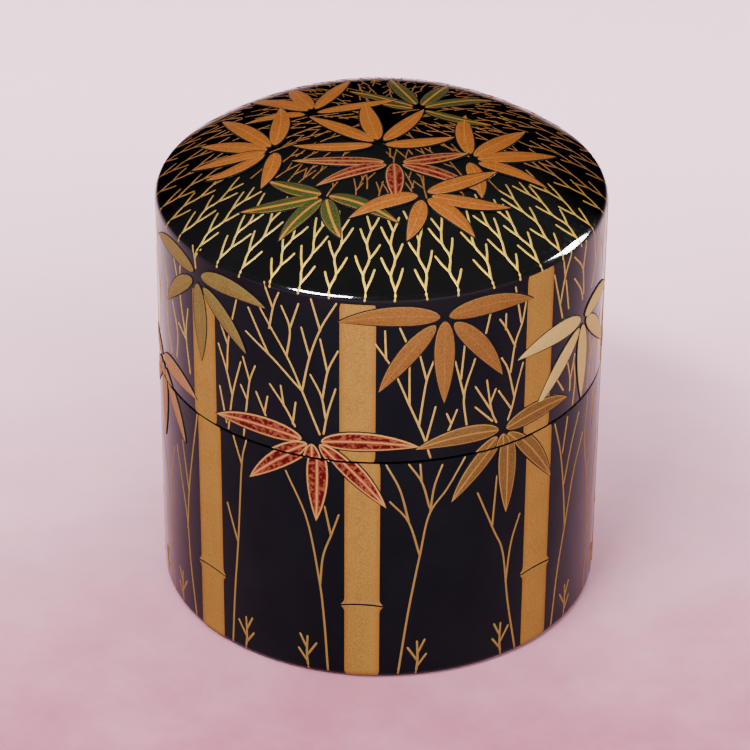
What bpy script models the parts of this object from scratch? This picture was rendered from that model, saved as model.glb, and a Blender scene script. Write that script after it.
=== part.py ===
"""Round lacquered tea caddy, joined at mid height.

A turned wooden cup and a turned wooden lid meet flush at a seam.  A separately turned
collar ring stands in a rebate of the cup and guides the lid.  Lacquer coats cover all
the wood, and eight bamboo stems in raised gold run up the wall across the seam.

Metres, +Z up.  The origin is the centre of the underside, and the front faces -Y.
Angles round the wall are in degrees from the front, positive towards +X.
"""

import math
from collections import namedtuple

import bmesh
import bpy

MM = 0.001

# Overall form
OUTER_RADIUS = 33.0 * MM
TOTAL_HEIGHT = 75.5 * MM
SEAM_HEIGHT = 37.6 * MM
DOME_RISE = 11.0 * MM
DOME_POWER = 2.3
SHOULDER_FILLET = 1.8 * MM
FOOT_FILLET = 1.2 * MM

# Build-up of the wall, the same on every side of the wood
COAT = 0.3 * MM
GAP = 0.3 * MM
LAYER = COAT + GAP
SEAM_GAP = 0.3 * MM
LID_CLEARANCE = 0.3 * MM

# Lid
LID_WALL = 2.4 * MM
LID_CROWN = 3.0 * MM
LID_INSIDE_RISE = 9.5 * MM
LID_INSIDE_FILLET = 4.0 * MM

# Collar ring
COLLAR_RISE = 10.0 * MM
COLLAR_DEPTH = 12.0 * MM
COLLAR_WOOD = 1.2 * MM

# Cup
FLOOR_THICKNESS = 5.0 * MM
FLOOR_FILLET = 5.0 * MM
RECESS_RADIUS = 27.5 * MM
RECESS_DEPTH = 0.6 * MM
RECESS_SLOPE = 0.3 * MM

# Raised gold bamboo stems
# Four stems, each with the height of its node; the back of the wall repeats the front
STEM_PATTERN = ((-48.5, 11.9 * MM), (-4.3, 12.9 * MM), (44.2, 13.6 * MM), (88.5, 12.6 * MM))
STEM_HALF_WIDTH = 2.5 * MM
STEM_THICKNESS = 0.2 * MM
STEM_GAP = 0.1 * MM
STEM_FOOT = 1.4 * MM
STEM_TOP = 63.0 * MM
STEM_NODE_FLARE = 0.5 * MM
STEM_NODE_REACH = 0.9 * MM

# The lid can be set down at any angle; at rest it is turned a little against the cup
LID_TURN = -1.3

# Fineness of the solids
TURNED_SEGMENTS = 48
DOME_STEPS = 6
FILLET_STEPS = 4
STEM_COLUMNS = 3
MERGE_DISTANCE = 1e-7

# Heights and radii that follow
LEDGE_HEIGHT = SEAM_HEIGHT - SEAM_GAP / 2
LID_FOOT = SEAM_HEIGHT + SEAM_GAP / 2
COLLAR_TOP = SEAM_HEIGHT + COLLAR_RISE
COLLAR_FOOT = SEAM_HEIGHT - COLLAR_DEPTH
LID_INSIDE_RADIUS = OUTER_RADIUS - LID_WALL
COLLAR_OUTSIDE = LID_INSIDE_RADIUS - LID_CLEARANCE
COLLAR_RING_OUTSIDE = COLLAR_OUTSIDE - LAYER
COLLAR_RING_INSIDE = COLLAR_RING_OUTSIDE - COLLAR_WOOD
CUP_INSIDE = COLLAR_RING_INSIDE - LAYER

Cap = namedtuple("Cap", "radius apex rise fillet")
LID_OUTSIDE = Cap(OUTER_RADIUS, TOTAL_HEIGHT, DOME_RISE, SHOULDER_FILLET)
LID_INSIDE = Cap(LID_INSIDE_RADIUS, TOTAL_HEIGHT - LID_CROWN, LID_INSIDE_RISE, LID_INSIDE_FILLET)


def clear_scene():
    """Remove every object of the opened file."""
    for item in list(bpy.data.objects):
        bpy.data.objects.remove(item, do_unlink=True)


def make_material(name, colour, roughness, metallic=0.0, coat=0.0):
    """One Principled material."""
    material = bpy.data.materials.new(name)
    material.use_nodes = True
    shader = material.node_tree.nodes["Principled BSDF"]
    shader.inputs["Base Color"].default_value = (*colour, 1.0)
    shader.inputs["Roughness"].default_value = roughness
    shader.inputs["Metallic"].default_value = metallic
    shader.inputs["Coat Weight"].default_value = coat
    material.diffuse_color = (*colour, 1.0)
    return material


def make_empty(name, height):
    """A reference frame on the caddy's axis."""
    empty = bpy.data.objects.new(name, None)
    empty.location = (0.0, 0.0, height)
    bpy.context.scene.collection.objects.link(empty)
    return empty


def finish_body(name, bm, material, frame):
    """Turn a bmesh in world heights into a smooth-shaded object under its frame."""
    bmesh.ops.remove_doubles(bm, verts=bm.verts, dist=MERGE_DISTANCE)
    bmesh.ops.recalc_face_normals(bm, faces=bm.faces)
    bmesh.ops.translate(bm, verts=bm.verts, vec=(0.0, 0.0, -frame.location.z))
    mesh = bpy.data.meshes.new(name)
    bm.to_mesh(mesh)
    bm.free()
    mesh.materials.append(material)
    mesh.shade_smooth()
    mesh.set_sharp_from_angle(angle=math.radians(35.0))
    body = bpy.data.objects.new(name, mesh)
    body.parent = frame
    bpy.context.scene.collection.objects.link(body)
    return body


def turn(name, profile, material, frame):
    """Spin an (r, z) profile round Z; it starts and ends on the axis, or it is a loop."""
    bm = bmesh.new()
    corners = [bm.verts.new((radius, 0.0, height)) for radius, height in profile]
    pairs = list(zip(corners, corners[1:]))
    if profile[0][0] > 0.0:
        pairs.append((corners[-1], corners[0]))
    edges = [bm.edges.new(pair) for pair in pairs]
    bmesh.ops.spin(
        bm,
        geom=corners + edges,
        cent=(0.0, 0.0, 0.0),
        axis=(0.0, 0.0, 1.0),
        angle=math.tau,
        steps=TURNED_SEGMENTS,
        use_merge=True,
    )
    return finish_body(name, bm, material, frame)


def dome_normal(cap, radius):
    """Height of the dome over a radius, with the outward normal there."""
    share = radius / cap.radius
    height = cap.apex - cap.rise * share ** DOME_POWER
    slope = cap.rise * DOME_POWER * share ** (DOME_POWER - 1.0) / cap.radius
    length = math.hypot(slope, 1.0)
    return height, slope / length, 1.0 / length


def shoulder_contact(cap):
    """Radius at which the shoulder fillet, tangent to the wall, meets the dome."""
    low, high = cap.radius - cap.fillet, cap.radius
    for _ in range(50):
        middle = (low + high) / 2
        outward = dome_normal(cap, middle)[1]
        if middle - cap.fillet * outward < cap.radius - cap.fillet:
            low = middle
        else:
            high = middle
    return low


def cap_curve(cap, inset, foot):
    """Outline parallel to a domed cap, from the axis over the shoulder to a wall's foot."""
    contact = shoulder_contact(cap)
    curve = []
    for step in range(DOME_STEPS + 1):
        radius = contact * math.sin(math.pi / 2 * step / DOME_STEPS)
        height, out, up = dome_normal(cap, radius)
        curve.append((radius - inset * out, height - inset * up))
    height, out, up = dome_normal(cap, contact)
    centre_radius = contact - cap.fillet * out
    centre_height = height - cap.fillet * up
    start = math.atan2(up, out)
    for step in range(1, FILLET_STEPS + 1):
        angle = start * (1.0 - step / FILLET_STEPS)
        reach = cap.fillet - inset
        curve.append((centre_radius + reach * math.cos(angle), centre_height + reach * math.sin(angle)))
    curve.append((cap.radius - inset, foot))
    return curve


def cup_curve(inset, top):
    """Outline parallel to the cup's inside, from the axis along the floor and up to a top."""
    centre_radius = CUP_INSIDE - FLOOR_FILLET
    centre_height = FLOOR_THICKNESS + FLOOR_FILLET
    reach = FLOOR_FILLET + inset
    curve = [(0.0, FLOOR_THICKNESS - inset)]
    for step in range(FILLET_STEPS + 1):
        angle = math.pi / 2 * (step / FILLET_STEPS - 1.0)
        curve.append((centre_radius + reach * math.cos(angle), centre_height + reach * math.sin(angle)))
    curve.append((CUP_INSIDE + inset, top))
    return curve


def foot_arc(inset, lowest_degrees):
    """Rounded lower edge of the wall, from its lowest point up to the wall."""
    centre_radius = OUTER_RADIUS - FOOT_FILLET
    reach = FOOT_FILLET - inset
    arc = []
    for step in range(FILLET_STEPS + 1):
        angle = math.radians(lowest_degrees) * (1.0 - step / FILLET_STEPS)
        arc.append((centre_radius + reach * math.cos(angle), FOOT_FILLET + reach * math.sin(angle)))
    return arc


def underside(inset):
    """Half outline of the recessed underside, from the axis to the foot's edge."""
    edge = RECESS_RADIUS + inset * 0.5
    return [
        (0.0, RECESS_DEPTH + inset),
        (edge - RECESS_SLOPE, RECESS_DEPTH + inset),
        (edge + RECESS_SLOPE, inset),
        (OUTER_RADIUS - FOOT_FILLET, inset),
    ]


def build_cup_wood(material, frame):
    """Turned cup with a rebate round its mouth for the collar ring."""
    rebate_radius = COLLAR_RING_OUTSIDE + GAP
    rebate_floor = COLLAR_FOOT - GAP
    wood_top = LEDGE_HEIGHT - LAYER
    inside = cup_curve(LAYER, rebate_floor)
    profile = underside(LAYER) + foot_arc(LAYER, -90.0)[1:]
    profile += [(OUTER_RADIUS - LAYER, wood_top), (rebate_radius, wood_top)]
    profile += [(rebate_radius, rebate_floor)] + inside[::-1]
    turn("cup_wood", profile, material, frame)


def build_collar_ring(material, frame):
    """Thin turned ring that stands out of the cup and guides the lid."""
    top = COLLAR_TOP - LAYER
    profile = [
        (COLLAR_RING_INSIDE, COLLAR_FOOT),
        (COLLAR_RING_OUTSIDE, COLLAR_FOOT),
        (COLLAR_RING_OUTSIDE, top),
        (COLLAR_RING_INSIDE, top),
    ]
    turn("collar_ring_wood", profile, material, frame)


def build_cup_outer_lacquer(material, frame):
    """Coat on the cup's wall, turned in over the ledge that the lid rests on."""
    ledge_end = COLLAR_OUTSIDE + LID_CLEARANCE
    profile = foot_arc(0.0, -60.0)
    profile += [(OUTER_RADIUS, LEDGE_HEIGHT), (ledge_end, LEDGE_HEIGHT)]
    profile += [(ledge_end, LEDGE_HEIGHT - COAT), (OUTER_RADIUS - COAT, LEDGE_HEIGHT - COAT)]
    profile += foot_arc(COAT, -60.0)[::-1]
    turn("cup_outer_lacquer", profile, material, frame)


def build_base_lacquer(material, frame):
    """Coat under the cup: a narrow flat foot round a shallow recess."""
    turn("base_lacquer", underside(0.0) + underside(COAT)[::-1], material, frame)


def build_cup_inner_lacquer(material, frame):
    """Coat inside the cup, over the collar's rim and down the collar's outside."""
    front = cup_curve(0.0, COLLAR_TOP)
    back = cup_curve(COAT, COLLAR_TOP - COAT)
    profile = front + [(COLLAR_OUTSIDE, COLLAR_TOP), (COLLAR_OUTSIDE, LEDGE_HEIGHT - COAT)]
    profile += [(COLLAR_OUTSIDE - COAT, LEDGE_HEIGHT - COAT), (COLLAR_OUTSIDE - COAT, COLLAR_TOP - COAT)]
    turn("cup_inner_lacquer", profile + back[::-1], material, frame)


def build_lid_wood(material, frame):
    """Turned lid with a domed top."""
    foot = LID_FOOT + LAYER
    outside = cap_curve(LID_OUTSIDE, LAYER, foot)
    inside = cap_curve(LID_INSIDE, -LAYER, foot)
    turn("lid_wood", outside + inside[::-1], material, frame)


def build_lid_outer_lacquer(material, frame):
    """Coat over the dome and the lid's wall, turned in under the wall's foot."""
    ledge_end = LID_INSIDE_RADIUS + LAYER
    outside = cap_curve(LID_OUTSIDE, 0.0, LID_FOOT)
    inside = cap_curve(LID_OUTSIDE, COAT, LID_FOOT + COAT)
    profile = outside + [(ledge_end, LID_FOOT), (ledge_end, LID_FOOT + COAT)] + inside[::-1]
    turn("lid_outer_lacquer", profile, material, frame)


def build_lid_inner_lacquer(material, frame):
    """Coat inside the lid, down to its mouth."""
    front = cap_curve(LID_INSIDE, 0.0, LID_FOOT)
    back = cap_curve(LID_INSIDE, -COAT, LID_FOOT)
    turn("lid_inner_lacquer", front + back[::-1], material, frame)


def build_stem(name, centre_degrees, rows, material, frame):
    """Low curved plate on the wall; rows are (height, half width) from the foot up."""
    bm = bmesh.new()
    inner_radius = OUTER_RADIUS + STEM_GAP
    grids = []
    for radius in (inner_radius, inner_radius + STEM_THICKNESS):
        grid = []
        for height, half_width in rows:
            line = []
            for column in range(STEM_COLUMNS + 1):
                across = half_width * (2.0 * column / STEM_COLUMNS - 1.0)
                angle = math.radians(centre_degrees) + across / OUTER_RADIUS
                line.append(bm.verts.new((radius * math.sin(angle), -radius * math.cos(angle), height)))
            grid.append(line)
        grids.append(grid)
    for grid in grids:
        for low, high in zip(grid, grid[1:]):
            for column in range(STEM_COLUMNS):
                bm.faces.new((low[column], low[column + 1], high[column + 1], high[column]))
    back, front = grids
    for line in (0, -1):
        for column in range(STEM_COLUMNS):
            bm.faces.new((back[line][column], back[line][column + 1], front[line][column + 1], front[line][column]))
    for side in (0, -1):
        for row in range(len(rows) - 1):
            bm.faces.new((back[row][side], back[row + 1][side], front[row + 1][side], front[row][side]))
    finish_body(name, bm, material, frame)


def build_stems(material, cup_frame, lid_frame):
    """Each bamboo stem is cut at the seam: its lower part is on the cup, its upper on the lid."""
    half = STEM_HALF_WIDTH
    upper = [(LID_FOOT, half), (STEM_TOP, half)]
    back = [(angle + 180.0, node) for angle, node in STEM_PATTERN]
    for number, (angle, node) in enumerate([*STEM_PATTERN, *back], start=1):
        lower = [
            (STEM_FOOT, half),
            (node - STEM_NODE_REACH, half),
            (node, half + STEM_NODE_FLARE),
            (node + STEM_NODE_REACH, half),
            (LEDGE_HEIGHT, half),
        ]
        build_stem(f"gold_stem_lower_{number}", angle, lower, material, cup_frame)
        build_stem(f"gold_stem_upper_{number}", angle + LID_TURN, upper, material, lid_frame)


def main():
    clear_scene()
    wood = make_material("turned_wood", (0.46, 0.29, 0.15), 0.6)
    lacquer = make_material("black_lacquer", (0.010, 0.010, 0.012), 0.12, coat=1.0)
    lining = make_material("lining_lacquer", (0.012, 0.010, 0.010), 0.2, coat=0.6)
    gold = make_material("gold_powder", (0.66, 0.40, 0.14), 0.42, metallic=0.7)

    cup_frame = make_empty("cup_frame", 0.0)
    lid_frame = make_empty("lid_lift_axis", SEAM_HEIGHT)

    build_cup_wood(wood, cup_frame)
    build_collar_ring(wood, cup_frame)
    build_base_lacquer(lacquer, cup_frame)
    build_cup_outer_lacquer(lacquer, cup_frame)
    build_cup_inner_lacquer(lining, cup_frame)
    build_lid_wood(wood, lid_frame)
    build_lid_outer_lacquer(lacquer, lid_frame)
    build_lid_inner_lacquer(lining, lid_frame)
    build_stems(gold, cup_frame, lid_frame)


main()
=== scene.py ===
"""Looks of the round lacquered tea caddy with raised gold bamboo.

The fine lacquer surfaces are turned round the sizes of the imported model.  All the gold
work is laid on the outside skin: a point of the skin is (angle, run), the angle being
measured from the front (-Y) towards +X, and the run being the length along the outline,
equal to the height on the wall and going on over the shoulder and the dome.
Metres, +Z up; the tables of the decoration are in degrees and millimetres.
"""

import random
from collections import namedtuple
from math import atan2, cos, pi, radians, sin, tau

import bmesh
import bpy
import numpy as np
from mathutils import Matrix, Vector


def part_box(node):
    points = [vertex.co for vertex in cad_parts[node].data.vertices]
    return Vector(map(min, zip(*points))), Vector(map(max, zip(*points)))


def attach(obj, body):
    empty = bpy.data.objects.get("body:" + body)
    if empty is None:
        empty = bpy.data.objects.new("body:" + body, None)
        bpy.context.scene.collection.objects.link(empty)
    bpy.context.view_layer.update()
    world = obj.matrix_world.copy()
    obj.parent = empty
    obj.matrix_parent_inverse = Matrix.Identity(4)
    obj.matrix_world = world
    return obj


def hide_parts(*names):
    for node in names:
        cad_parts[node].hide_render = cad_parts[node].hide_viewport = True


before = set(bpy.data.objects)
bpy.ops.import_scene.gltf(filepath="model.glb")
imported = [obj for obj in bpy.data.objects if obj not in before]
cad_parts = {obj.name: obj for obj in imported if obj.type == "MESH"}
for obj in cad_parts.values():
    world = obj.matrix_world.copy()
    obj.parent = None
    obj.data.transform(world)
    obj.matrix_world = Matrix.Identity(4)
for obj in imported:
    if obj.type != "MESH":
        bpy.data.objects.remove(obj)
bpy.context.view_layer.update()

MM = 0.001

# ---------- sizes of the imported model
WALL_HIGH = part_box("cup_outer_lacquer")[1]
LID_LOW, LID_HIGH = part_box("lid_outer_lacquer")
LINING_LOW, LINING_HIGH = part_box("cup_inner_lacquer")
LID_LINING_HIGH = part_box("lid_inner_lacquer")[1]
RING_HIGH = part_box("collar_ring_wood")[1]
BASE_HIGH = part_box("base_lacquer")[1]

COAT = 0.3 * MM
RADIUS = LID_HIGH.x
LID_FOOT = LID_LOW.z
LEDGE = WALL_HIGH.z
SEAM = (LID_FOOT + LEDGE) / 2
# The lid sits turned by so many degrees, so that the culms just miss one another at the seam
LID_TURN = -1.3

DOME_POWER = 2.3
FOOT_FILLET = 1.2 * MM
Cap = namedtuple("Cap", "radius apex rise fillet")
OUTSIDE = Cap(RADIUS, LID_HIGH.z, 11.0 * MM, 1.8 * MM)
INSIDE = Cap(LID_LINING_HIGH.x - COAT, LID_LINING_HIGH.z - COAT, 9.5 * MM, 4.0 * MM)

COLLAR_TOP = LINING_HIGH.z
COLLAR_OUTSIDE = LINING_HIGH.x
COLLAR_WALL = 1.8 * MM
CUP_INSIDE = RING_HIGH.x - COLLAR_WALL
FLOOR_TOP = LINING_LOW.z + COAT
FLOOR_FILLET = 5.0 * MM
RECESS_RADIUS = 27.5 * MM
RECESS_DEPTH = BASE_HIGH.z - COAT
RECESS_SLOPE = 0.5 * MM
EDGE_ROUND = 0.14 * MM
LID_LINING_ROUND = 0.7 * EDGE_ROUND
COLLAR_ROUND = 2 * EDGE_ROUND

# Fineness; columns are shares of the half width
TURNED_SEGMENTS = 256
ARC_STEPS = 10
DOME_STEPS = 36
ROUND_STEPS = 4
SHARP_ANGLE = 40.0
MERGE_DISTANCE = 1e-7
LEAF_ROWS = 15
LEAF_COLUMNS = (-1.0, -0.9, -0.62, -0.32, -0.1, 0.0, 0.1, 0.32, 0.62, 0.9, 1.0)
KEY_COLUMNS = (-1.0, -0.5, 0.0, 0.5, 1.0)
CULM_COLUMNS = (-1.0, -0.93, -0.6, -0.2, 0.2, 0.6, 0.93, 1.0)
CULM_ROWS = 9
STROKE_SPACING = 0.7 * MM
# Cross-section of a stroke: share of the half width, share of the height
STROKE_RING = ((-1.0, 0.0), (-0.7, 0.72), (0.0, 1.0), (0.7, 0.72), (1.0, 0.0))

# Relief of the gold work above the lacquer
SINK = -0.06 * MM
STROKE_TOP = 0.05 * MM
CULM_TOP = 0.06 * MM
KEY_TOP = 0.075 * MM
KEY_MARGIN = 0.20 * MM
KEY_TIP_SHARE = 1.6
LEAF_EDGE = 0.015 * MM
LEAF_CROWN = 0.05 * MM
RIB_HEIGHT = 0.015 * MM
LEVEL_STEP = 0.05 * MM
LEAF_STEP = 0.012 * MM
CUT_MARGIN = 0.02 * MM

# Outline of a leaf: where it is widest, how fast it opens and closes, and its least half width
WIDEST = 0.38
OPENING = 0.55
CLOSING = 0.9
LEAST_HALF_WIDTH = 0.03 * MM
PLUMP_HALF_WIDTH = 0.8 * MM
DOME_LEAF_SLIMNESS = 0.82

# Strokes: width of each kind, share of the width left at the end, and the rounded tips
LID_TWIG_WIDTH = 0.42 * MM
CUP_TWIG_WIDTH = 0.44 * MM
SPRIG_WIDTH = 0.5 * MM
STROKE_TAPER = 0.8
TIP_SHARE = 0.35
TIP_HEIGHT_SHARE = 0.75

# ---------- decoration tables
# Culms: angle, height of the node, height of the top
CULMS = (
    (-48.5, 11.9, 58.2),
    (-4.3, 12.9, 63.3),
    (44.2, 13.6, 63.9),
    (88.5, 12.6, 63.4),
)
CULM_HALF_WIDTH = 2.55 * MM
CULM_FOOT = 0.5 * MM
CULM_GAP = 0.03 * MM
CULM_EDGE_DROP = 0.05 * MM
# Ends of a joint, in millimetres: distance of each row from the end and its swelling
END_ROWS = (0.0, 0.25, 0.6, 1.0)
END_SWELL = (0.5, 0.28, 0.08, 0.0)
PLAIN_END_SHARE = -0.35
NODE_LINE = 0.17 * MM
NODE_ARCH = 0.3 * MM
NODE_RIDGE = 0.03 * MM

# Leaves: base angle, base height, tip angle, tip height, width, bow to the left of the way out
LID_SPRAYS = {
    "khaki": (
        (-53.4, 61.1, -76.0, 60.6, 2.6, -1.0), (-54.0, 59.6, -68.5, 52.2, 2.3, -0.5),
        (-51.7, 59.5, -50.6, 47.4, 2.8, 0.2), (-49.3, 59.4, -35.0, 52.0, 2.5, 0.5),
        (-50.0, 61.0, -29.2, 60.4, 2.7, 1.0),
    ),
    "orange": (
        (14.3, 60.9, -10.2, 60.4, 3.0, -0.9), (13.2, 59.7, -0.4, 49.4, 2.7, -0.4),
        (15.5, 60.2, 15.7, 47.0, 2.9, 0.0), (18.0, 59.7, 31.2, 49.6, 2.8, 0.5),
        (16.6, 60.9, 39.8, 60.3, 2.9, 1.0),
    ),
    "pale": (
        (60.2, 51.6, 35.8, 51.0, 3.0, -1.0), (59.6, 50.4, 42.3, 41.6, 2.6, -0.4),
        (61.3, 50.5, 62.0, 38.1, 3.0, 0.1), (63.4, 50.9, 78.5, 42.8, 2.6, 0.4),
        (62.6, 51.7, 82.0, 51.2, 2.7, 1.0),
    ),
}
SEAM_SPRAYS = {
    "red": (
        (-19.6, 40.4, -45.2, 39.7, 3.0, -0.9), (-14.6, 40.5, 9.6, 40.1, 3.0, 0.8),
        (-18.2, 39.8, -34.4, 31.5, 2.9, -0.5), (-15.0, 40.0, 1.6, 30.1, 2.8, 0.4),
        (-17.0, 39.9, -15.9, 27.0, 3.2, 0.1),
    ),
    "brown": (
        (30.6, 40.4, 8.8, 39.7, 2.8, -0.9), (32.9, 40.3, 54.6, 40.4, 2.9, 0.9),
        (30.2, 39.4, 18.1, 30.1, 2.6, -0.4), (33.4, 39.4, 48.6, 28.6, 2.7, 0.5),
        (31.9, 39.6, 33.4, 26.0, 3.0, 0.1),
    ),
    "rose": (
        (-76.0, 40.6, -97.0, 40.2, 2.7, -0.9), (-73.8, 40.8, -53.4, 39.9, 2.8, 0.9),
        (-76.6, 39.2, -91.0, 31.0, 2.5, -0.4), (-72.6, 39.0, -59.4, 30.8, 2.5, 0.4),
        (-74.9, 39.4, -74.2, 27.5, 2.8, 0.1),
    ),
}

# Dome sprays: name, colour, level (which spray lies over which) and leaves
# Dome leaves: base x, base y, tip x, tip y, width, bow
DOME_SPRAYS = (
    ("orange_back", "dome_orange", 1, (
        (-10.8, 3.9, -19.4, 16.2, 2.9, 0.3), (-10.2, 4.3, -13.6, 17.2, 3.0, 0.3),
        (-9.6, 4.1, -4.8, 17.0, 2.9, -0.3), (-11.2, 2.4, -20.0, 4.6, 2.3, -0.5),
        (-9.3, 2.6, 2.2, 6.0, 2.5, -0.5),
    )),
    ("green_back", "green", 0, (
        (4.4, 4.1, -4.8, 10.2, 2.4, 0.3), (4.9, 4.9, 1.2, 17.3, 2.9, 0.4),
        (5.8, 4.7, 9.8, 17.0, 2.7, -0.3), (6.3, 4.0, 16.2, 13.2, 2.7, -0.3),
        (6.3, 2.7, 15.8, 1.7, 2.5, -1.0), (4.4, 3.2, -0.4, 4.7, 1.6, 0.2),
    )),
    ("orange_left", "dome_orange", 2, (
        (-16.4, -5.7, -26.2, 2.9, 2.7, 0.4), (-15.9, -5.1, -23.4, 10.0, 2.8, 0.4),
        (-15.2, -5.0, -14.8, 6.9, 3.3, -0.4), (-16.7, -6.7, -25.0, -7.7, 2.5, 0.9),
        (-15.3, -7.1, -17.0, -14.0, 2.9, 0.5), (-16.6, -6.2, -27.2, -3.4, 2.4, 0.3),
    )),
    ("orange_middle", "dome_orange", 2, (
        (-1.4, -7.9, -12.6, -6.2, 2.3, 0.9), (-1.2, -7.0, -10.4, 1.3, 2.8, 0.3),
        (-0.6, -6.6, -2.5, 5.0, 3.4, 0.3), (0.3, -6.8, 6.0, 2.9, 2.8, -0.4),
        (0.5, -7.9, 10.3, -4.5, 2.4, -0.8),
    )),
    ("orange_right", "dome_orange", 1, (
        (12.4, -8.0, 12.1, 3.0, 3.1, 0.5), (13.1, -8.2, 20.7, 3.1, 2.8, -0.3),
        (13.6, -8.8, 25.0, -0.8, 2.6, -0.4), (13.7, -9.8, 23.4, -10.0, 2.6, 0.6),
        (12.4, -10.1, 14.0, -16.6, 3.0, 0.3),
    )),
    ("red_front", "dome_red", 2, (
        (0.3, -11.9, -12.7, -9.8, 2.2, 0.5), (0.6, -12.6, -9.2, -15.9, 2.4, -0.4),
        (2.9, -12.5, 14.2, -15.6, 2.5, 0.4), (3.0, -11.9, 12.2, -8.0, 2.4, -0.4),
        (1.7, -12.3, 2.0, -19.4, 3.1, 0.0),
    )),
    ("green_front", "green", 1, (
        (-8.5, -17.5, -16.0, -12.9, 2.4, 0.4), (-8.9, -18.0, -19.8, -17.1, 2.3, 0.5),
        (-8.4, -18.5, -14.2, -23.7, 2.8, -0.4), (-7.7, -18.6, -5.7, -24.9, 2.8, -0.3),
        (-7.3, -18.1, 2.3, -22.9, 2.3, 0.4),
    )),
    ("orange_front", "dome_orange", 3, (
        (5.0, -18.3, -4.5, -22.1, 2.6, -0.5), (5.6, -19.0, 3.5, -25.5, 2.8, 0.3),
        (6.4, -18.8, 12.9, -23.4, 3.0, 0.5), (7.0, -18.1, 18.0, -16.9, 2.4, -0.6),
        (6.4, -17.5, 16.2, -10.7, 2.5, -0.4),
    )),
)

# Twigs on the lid's wall: angle and height of each point of a stroke, in turn
LID_TWIGS = (
    (-15, 41.6, -19.5, 48.3, -23.5, 53.5, -31, 60.4), (-19.5, 48.3, -27, 52.4, -35, 55.6),
    (-28.6, 53.2, -31.5, 56.5, -34.2, 59.6), (-23.5, 53.5, -22.6, 58, -24.8, 61.4),
    (-22.6, 58, -20.3, 62.3), (-19.5, 48.3, -17.5, 54, -14.6, 59, -10.8, 63.2), (-17.5, 54, -19.6, 58.6),
    (-14.8, 58.6, -17.1, 63.4), (-14, 41.8, -13, 45.2, -11, 49.4), (-13.5, 44.4, -14.6, 48, -17.3, 51.2),
    (-14.3, 47.5, -12.9, 52.2, -10.4, 55.6), (-13, 52, -14.8, 57.2), (-21.4, 42.2, -24, 45, -28.2, 48.2),
    (-24.4, 45.2, -25.2, 48.4), (-22, 42.6, -21.2, 46.2), (-29.3, 42.5, -32.2, 46.2),
    (-29.8, 43.2, -28.9, 46), (-36.2, 38.1, -35, 44, -34.1, 47.6, -32.4, 50.4),
    (-34.1, 47.6, -36.1, 51.2), (-35, 44.4, -36.9, 46.4), (-41.2, 38.1, -39.6, 44.2, -36.8, 50.2),
    (-39.8, 44.2, -41.6, 48, -44.2, 51.6), (-41.3, 48, -40.6, 53.2, -37.8, 60.2),
    (-40.8, 52, -43.9, 55.8), (-41.8, 39, -44, 44.6), (-28.2, 57.3, -27, 61, -25.5, 63.4),
    (-27.1, 60.6, -29.6, 64.4), (12.5, 38.1, 10.5, 42, 7, 47.2, 3, 53, -1.4, 57.2), (7.1, 47.2, 7, 53.6),
    (1.3, 54.6, 1, 59.2), (6.5, 56.9, 4.6, 59.6), (9.5, 43.4, 10.5, 48, 11.4, 51.2, 13.1, 54.2),
    (11.3, 50.8, 9.4, 55.4), (11.4, 41, 13.6, 46.4), (16.8, 41.9, 17.8, 43.4, 19.1, 45.4),
    (17.7, 43.2, 16.5, 45), (21.8, 42.2, 20.9, 47.6, 23.6, 53.2), (21, 47.2, 18.4, 53.4),
    (20, 50.4, 20.8, 56), (30, 41.8, 28.5, 44, 27, 49.2), (28.6, 43.8, 23.9, 48.6),
    (28, 45.2, 29.6, 47.4), (28.8, 42.2, 24, 45.2), (26.4, 57, 27.6, 60.2),
    (33.4, 41.6, 34.6, 43.6, 36, 47, 37.6, 50.2), (34.4, 43.2, 30.4, 46.9),
    (35.1, 45.2, 33, 50, 31, 52.2), (33.8, 49.4, 35, 54, 37, 57, 38, 60.2),
    (35, 53.4, 32, 57, 30.2, 58.6), (32, 56.7, 32, 59.2), (36.6, 57, 34.6, 63), (53, 41.9, 49.4, 45),
    (56, 41, 56, 43, 54.4, 46.4), (56, 42.6, 58, 46.6), (51.4, 54.4, 47.6, 62.2),
    (50.4, 57, 52, 61, 54.6, 64.2), (52, 60.8, 51, 64.2), (54, 55.2, 52.4, 60.2),
    (61, 54.8, 60, 56.6, 56.4, 59.4), (61.5, 55.6, 60.4, 60, 56, 63), (60.6, 59.4, 62, 64),
    (57.8, 38.1, 58.6, 42, 57.4, 45.6), (66.2, 38.1, 67.6, 43.2, 66.4, 48.4), (67.5, 42.4, 70.4, 46.8),
    (72.6, 38.1, 73.4, 43, 76.2, 48.6), (73.5, 43.4, 71.6, 47.6), (66.5, 55.2, 68.6, 58.4, 67.2, 63.6),
    (68.4, 58, 72.2, 63.2), (78.4, 54.4, 76, 58.8, 77.6, 63.6), (76.2, 58.4, 73.6, 61),
    (81.5, 38.1, 80, 44, 82.4, 49.6), (-56.2, 43.4, -57.8, 49.2, -56.6, 54),
    (-58.2, 49.4, -60.6, 55.8, -59.4, 62.8), (-57.7, 48.6, -61.8, 50.2), (-60.3, 55.2, -63.8, 60.4),
    (-63.4, 44, -62.6, 48.4, -65.4, 52.8), (-66.5, 43.8, -69.6, 48.6, -68.4, 55.6),
    (-69.2, 48, -73.4, 53.6), (-68.6, 54.6, -71.6, 59), (-78.6, 44, -77, 50.2, -79.6, 57.8),
    (-77.2, 49.6, -74.8, 55.2), (-79.2, 56.8, -77.2, 64), (-78.8, 58.6, -83, 63.6),
    (-84.4, 43.6, -86, 49.6, -84.2, 56), (-52.5, 61.8, -53, 63.6, -54.6, 64.8), (-52.8, 63.2, -51.4, 65),
)

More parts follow.
